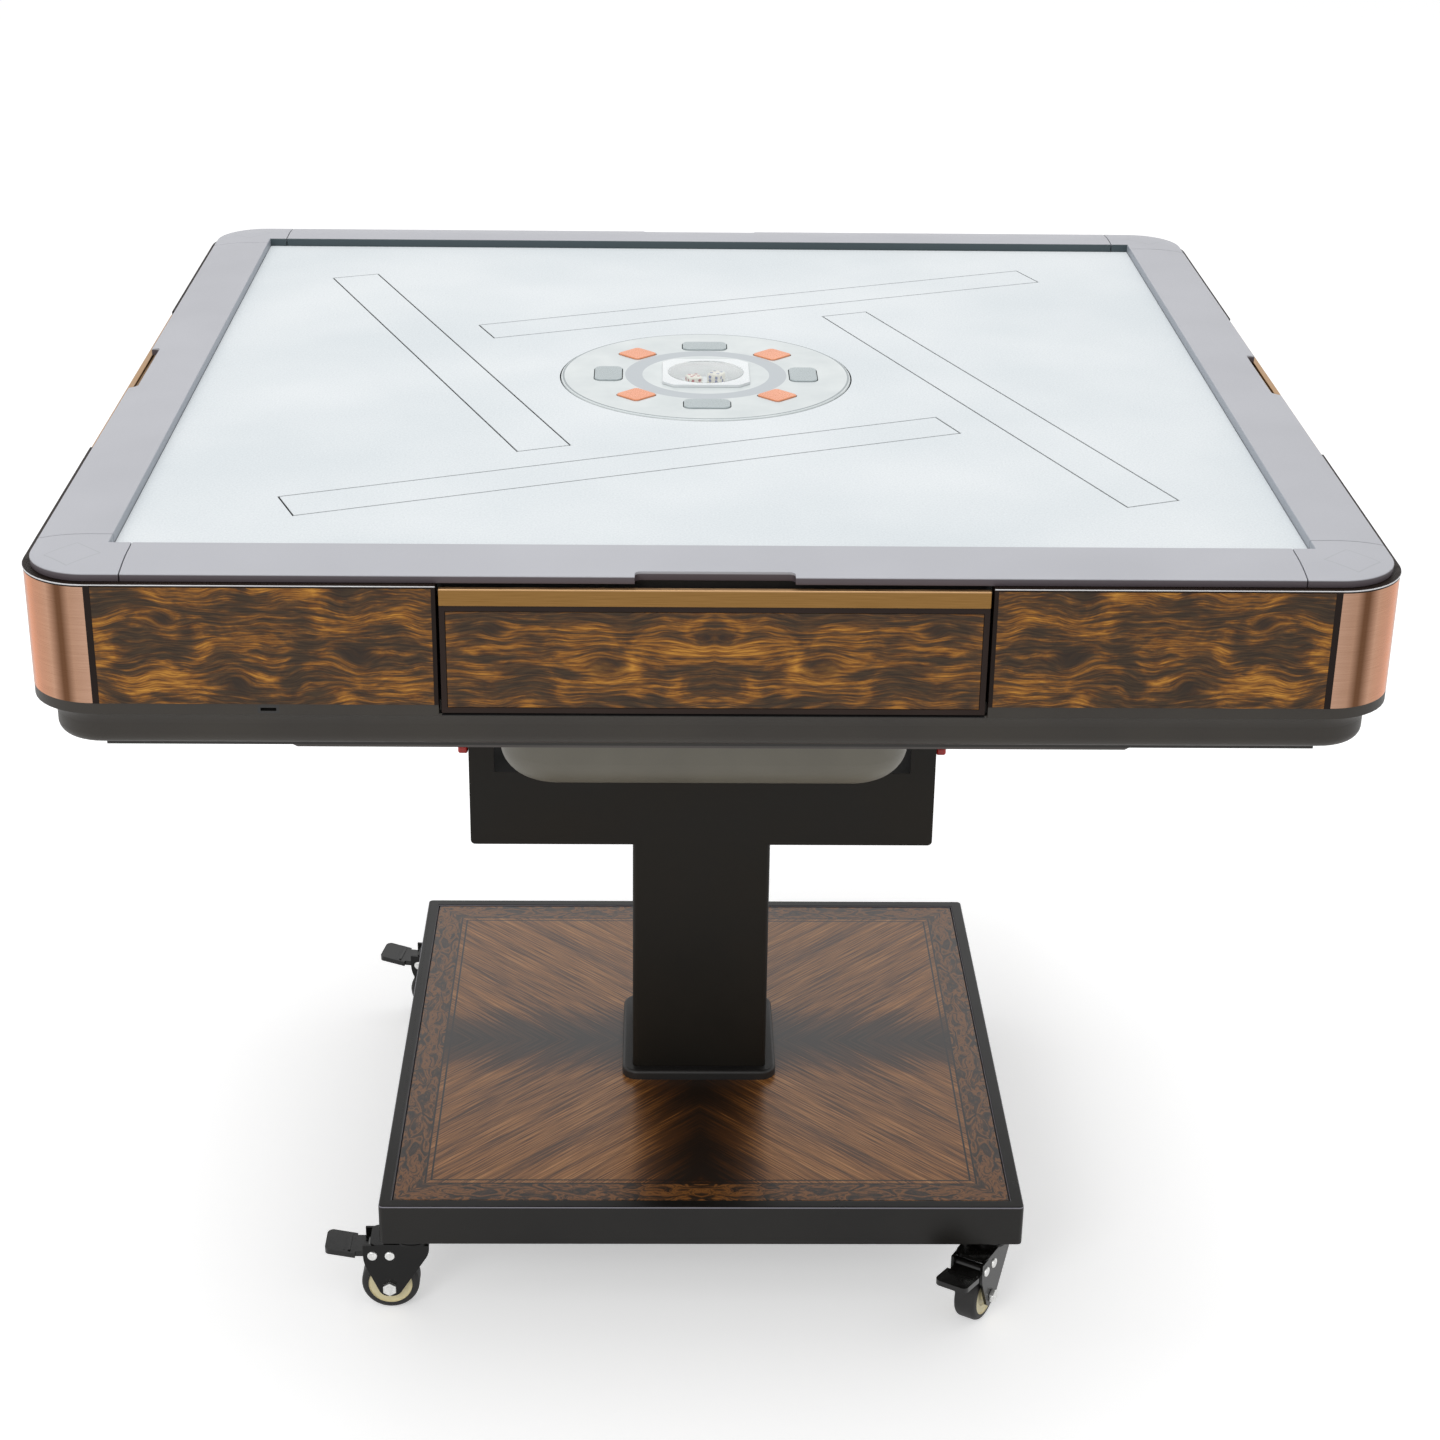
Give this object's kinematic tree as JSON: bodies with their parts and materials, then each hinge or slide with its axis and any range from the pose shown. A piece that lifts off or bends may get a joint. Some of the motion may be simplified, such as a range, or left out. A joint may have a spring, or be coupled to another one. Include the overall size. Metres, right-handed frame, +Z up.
{
  "type": "automatic mahjong table with drawers",
  "caption": "Square automatic mahjong table with a drawer on each side, tile lifts and a rising centre dial, on a folding pedestal with braked swivel casters.",
  "frame": {"origin": "on the floor under the centre of the table top", "axes": "+Z up, the front drawer faces -Y, +X to the right of someone facing the front"},
  "size_m": [0.962, 0.962, 0.772],
  "materials": {
    "black_steel": "matte powder coat",
    "base_veneer": "satin lacquered veneer",
    "apron_veneer": "satin lacquered veneer",
    "black_plastic": "satin moulded",
    "dark_plastic": "satin moulded",
    "rim_grey": "satin moulded",
    "felt_board": "board covered with pale grey felt",
    "bronze_metal": "brushed bronze",
    "zinc_steel": "zinc plated",
    "chassis_metal": "mill finish",
    "tub_plastic": "moulded",
    "turntable_plastic": "moulded",
    "dial_plastic": "gloss",
    "clear_plastic": "clear acrylic",
    "ivory_plastic": "gloss",
    "red_grip": "red grips on steel",
    "lift_metal": "felt topped",
    "grey_button": "satin",
    "orange_button": "satin",
    "caster_rubber": "black tyre with a cream core"
  },
  "bodies": {
    "pedestal": {"base_frame": "black_steel", "base_panel": "base_veneer", "column_tube": "black_steel", "column_collar": "black_plastic", "yoke": "black_steel", "pivot_pins": "zinc_steel", "caster_plates": "black_steel"},
    "table_top": {"rim_rails": "rim_grey", "rim_corner_caps": "rim_grey", "play_board": "felt_board", "corner_posts": "bronze_metal", "apron_frame": "dark_plastic", "wood_panels": "apron_veneer", "skirt": "dark_plastic", "skirt_sockets": "black_plastic", "chassis_frame": "chassis_metal", "bottom_cover": "dark_plastic", "tile_tub": "tub_plastic", "tile_chute": "tub_plastic", "mixer_motor": "zinc_steel", "control_box": "black_plastic", "drawer_runners": "chassis_metal"},
    "turntable": {"turntable": "turntable_plastic"},
    "center_dial": {"dial_plate": "dial_plastic", "dice_dome": "clear_plastic", "dice": "ivory_plastic", "center_stem": "tub_plastic"},
    "fold_lock": {"fold_lock_levers": "red_grip"},
    "drawer_front": {"drawer_box_front": "black_plastic", "drawer_front_front": "apron_veneer"},
    "lift_front": {"lift_platform_front": "lift_metal"},
    "rise_button_front": {"rise_button_front": "grey_button"},
    "dice_button_front": {"dice_button_front": "orange_button"},
    "drawer_right": {"drawer_box_right": "black_plastic", "drawer_front_right": "apron_veneer"},
    "lift_right": {"lift_platform_right": "lift_metal"},
    "rise_button_right": {"rise_button_right": "grey_button"},
    "dice_button_right": {"dice_button_right": "orange_button"},
    "drawer_back": {"drawer_box_back": "black_plastic", "drawer_front_back": "apron_veneer"},
    "lift_back": {"lift_platform_back": "lift_metal"},
    "rise_button_back": {"rise_button_back": "grey_button"},
    "dice_button_back": {"dice_button_back": "orange_button"},
    "drawer_left": {"drawer_box_left": "black_plastic", "drawer_front_left": "apron_veneer"},
    "lift_left": {"lift_platform_left": "lift_metal"},
    "rise_button_left": {"rise_button_left": "grey_button"},
    "dice_button_left": {"dice_button_left": "orange_button"},
    "caster_fork_front_left": {"caster_fork_front_left": "black_steel"},
    "caster_wheel_front_left": {"caster_wheel_front_left": "caster_rubber"},
    "caster_pedal_front_left": {"caster_pedal_front_left": "black_plastic"},
    "caster_fork_front_right": {"caster_fork_front_right": "black_steel"},
    "caster_wheel_front_right": {"caster_wheel_front_right": "caster_rubber"},
    "caster_pedal_front_right": {"caster_pedal_front_right": "black_plastic"},
    "caster_fork_back_right": {"caster_fork_back_right": "black_steel"},
    "caster_wheel_back_right": {"caster_wheel_back_right": "caster_rubber"},
    "caster_pedal_back_right": {"caster_pedal_back_right": "black_plastic"},
    "caster_fork_back_left": {"caster_fork_back_left": "black_steel"},
    "caster_wheel_back_left": {"caster_wheel_back_left": "caster_rubber"},
    "caster_pedal_back_left": {"caster_pedal_back_left": "black_plastic"}
  },
  "joints": [
    {"name": "fold", "type": "hinge", "parent": "pedestal", "child": "table_top", "pos_m": [0, 0.11, 0.6025], "axis": [-1, 0, 0], "range_deg": [0, 90]},
    {"name": "fold_lock_turn", "type": "hinge", "parent": "pedestal", "child": "fold_lock", "pos_m": [0, -0.039, 0.447], "axis": [1, 0, 0], "range_deg": [0, 25]},
    {"name": "turntable_spin", "type": "hinge", "parent": "table_top", "child": "turntable", "pos_m": [0, 0, 0.51], "axis": [0, 0, 1], "continuous": true},
    {"name": "center_lift", "type": "slide", "parent": "table_top", "child": "center_dial", "axis": [0, 0, 1], "range_m": [0, 0.055]},
    {"name": "drawer_slide_front", "type": "slide", "parent": "table_top", "child": "drawer_front", "axis": [0, -1, 0], "range_m": [0, 0.11]},
    {"name": "tile_lift_front", "type": "slide", "parent": "table_top", "child": "lift_front", "axis": [0, 0, 1], "range_m": [-0.045, 0]},
    {"name": "rise_press_front", "type": "slide", "parent": "center_dial", "child": "rise_button_front", "axis": [0, 0, -1], "range_m": [0, 0.002], "stiffness_N_per_m": 400, "springref_m": -0.002},
    {"name": "dice_press_front", "type": "slide", "parent": "center_dial", "child": "dice_button_front", "axis": [0, 0, -1], "range_m": [0, 0.002], "stiffness_N_per_m": 400, "springref_m": -0.002},
    {"name": "drawer_slide_right", "type": "slide", "parent": "table_top", "child": "drawer_right", "axis": [1, 0, 0], "range_m": [0, 0.11]},
    {"name": "tile_lift_right", "type": "slide", "parent": "table_top", "child": "lift_right", "axis": [0, 0, 1], "range_m": [-0.045, 0]},
    {"name": "rise_press_right", "type": "slide", "parent": "center_dial", "child": "rise_button_right", "axis": [0, 0, -1], "range_m": [0, 0.002], "stiffness_N_per_m": 400, "springref_m": -0.002},
    {"name": "dice_press_right", "type": "slide", "parent": "center_dial", "child": "dice_button_right", "axis": [0, 0, -1], "range_m": [0, 0.002], "stiffness_N_per_m": 400, "springref_m": -0.002},
    {"name": "drawer_slide_back", "type": "slide", "parent": "table_top", "child": "drawer_back", "axis": [0, 1, 0], "range_m": [0, 0.11]},
    {"name": "tile_lift_back", "type": "slide", "parent": "table_top", "child": "lift_back", "axis": [0, 0, 1], "range_m": [-0.045, 0]},
    {"name": "rise_press_back", "type": "slide", "parent": "center_dial", "child": "rise_button_back", "axis": [0, 0, -1], "range_m": [0, 0.002], "stiffness_N_per_m": 400, "springref_m": -0.002},
    {"name": "dice_press_back", "type": "slide", "parent": "center_dial", "child": "dice_button_back", "axis": [0, 0, -1], "range_m": [0, 0.002], "stiffness_N_per_m": 400, "springref_m": -0.002},
    {"name": "drawer_slide_left", "type": "slide", "parent": "table_top", "child": "drawer_left", "axis": [-1, 0, 0], "range_m": [0, 0.11]},
    {"name": "tile_lift_left", "type": "slide", "parent": "table_top", "child": "lift_left", "axis": [0, 0, 1], "range_m": [-0.045, 0]},
    {"name": "rise_press_left", "type": "slide", "parent": "center_dial", "child": "rise_button_left", "axis": [0, 0, -1], "range_m": [0, 0.002], "stiffness_N_per_m": 400, "springref_m": -0.002},
    {"name": "dice_press_left", "type": "slide", "parent": "center_dial", "child": "dice_button_left", "axis": [0, 0, -1], "range_m": [0, 0.002], "stiffness_N_per_m": 400, "springref_m": -0.002},
    {"name": "swivel_front_left", "type": "hinge", "parent": "pedestal", "child": "caster_fork_front_left", "pos_m": [-0.249, -0.249, 0.07], "axis": [0, 0, 1], "continuous": true},
    {"name": "wheel_front_left", "type": "hinge", "parent": "caster_fork_front_left", "child": "caster_wheel_front_left", "pos_m": [-0.269, -0.249, 0.025], "axis": [0, -1, 0], "continuous": true},
    {"name": "brake_front_left", "type": "hinge", "parent": "caster_fork_front_left", "child": "caster_pedal_front_left", "pos_m": [-0.283, -0.249, 0.058], "axis": [0, -1, 0], "range_deg": [0, 18]},
    {"name": "swivel_front_right", "type": "hinge", "parent": "pedestal", "child": "caster_fork_front_right", "pos_m": [0.249, -0.249, 0.07], "axis": [0, 0, 1], "continuous": true},
    {"name": "wheel_front_right", "type": "hinge", "parent": "caster_fork_front_right", "child": "caster_wheel_front_right", "pos_m": [0.2387, -0.26614, 0.025], "axis": [0.8572, -0.515, 0], "continuous": true},
    {"name": "brake_front_right", "type": "hinge", "parent": "caster_fork_front_right", "child": "caster_pedal_front_right", "pos_m": [0.23149, -0.27814, 0.058], "axis": [0.8572, -0.515, 0], "range_deg": [0, 18]},
    {"name": "swivel_back_right", "type": "hinge", "parent": "pedestal", "child": "caster_fork_back_right", "pos_m": [0.249, 0.249, 0.07], "axis": [0, 0, 1], "continuous": true},
    {"name": "wheel_back_right", "type": "hinge", "parent": "caster_fork_back_right", "child": "caster_wheel_back_right", "pos_m": [0.23021, 0.24216, 0.025], "axis": [0.342, -0.9397, 0], "continuous": true},
    {"name": "brake_back_right", "type": "hinge", "parent": "caster_fork_back_right", "child": "caster_pedal_back_right", "pos_m": [0.21705, 0.23737, 0.058], "axis": [0.342, -0.9397, 0], "range_deg": [0, 18]},
    {"name": "swivel_back_left", "type": "hinge", "parent": "pedestal", "child": "caster_fork_back_left", "pos_m": [-0.249, 0.249, 0.07], "axis": [0, 0, 1], "continuous": true},
    {"name": "wheel_back_left", "type": "hinge", "parent": "caster_fork_back_left", "child": "caster_wheel_back_left", "pos_m": [-0.2687, 0.25247, 0.025], "axis": [-0.1736, -0.9848, 0], "continuous": true},
    {"name": "brake_back_left", "type": "hinge", "parent": "caster_fork_back_left", "child": "caster_pedal_back_left", "pos_m": [-0.28248, 0.2549, 0.058], "axis": [-0.1736, -0.9848, 0], "range_deg": [0, 18]}
  ]
}
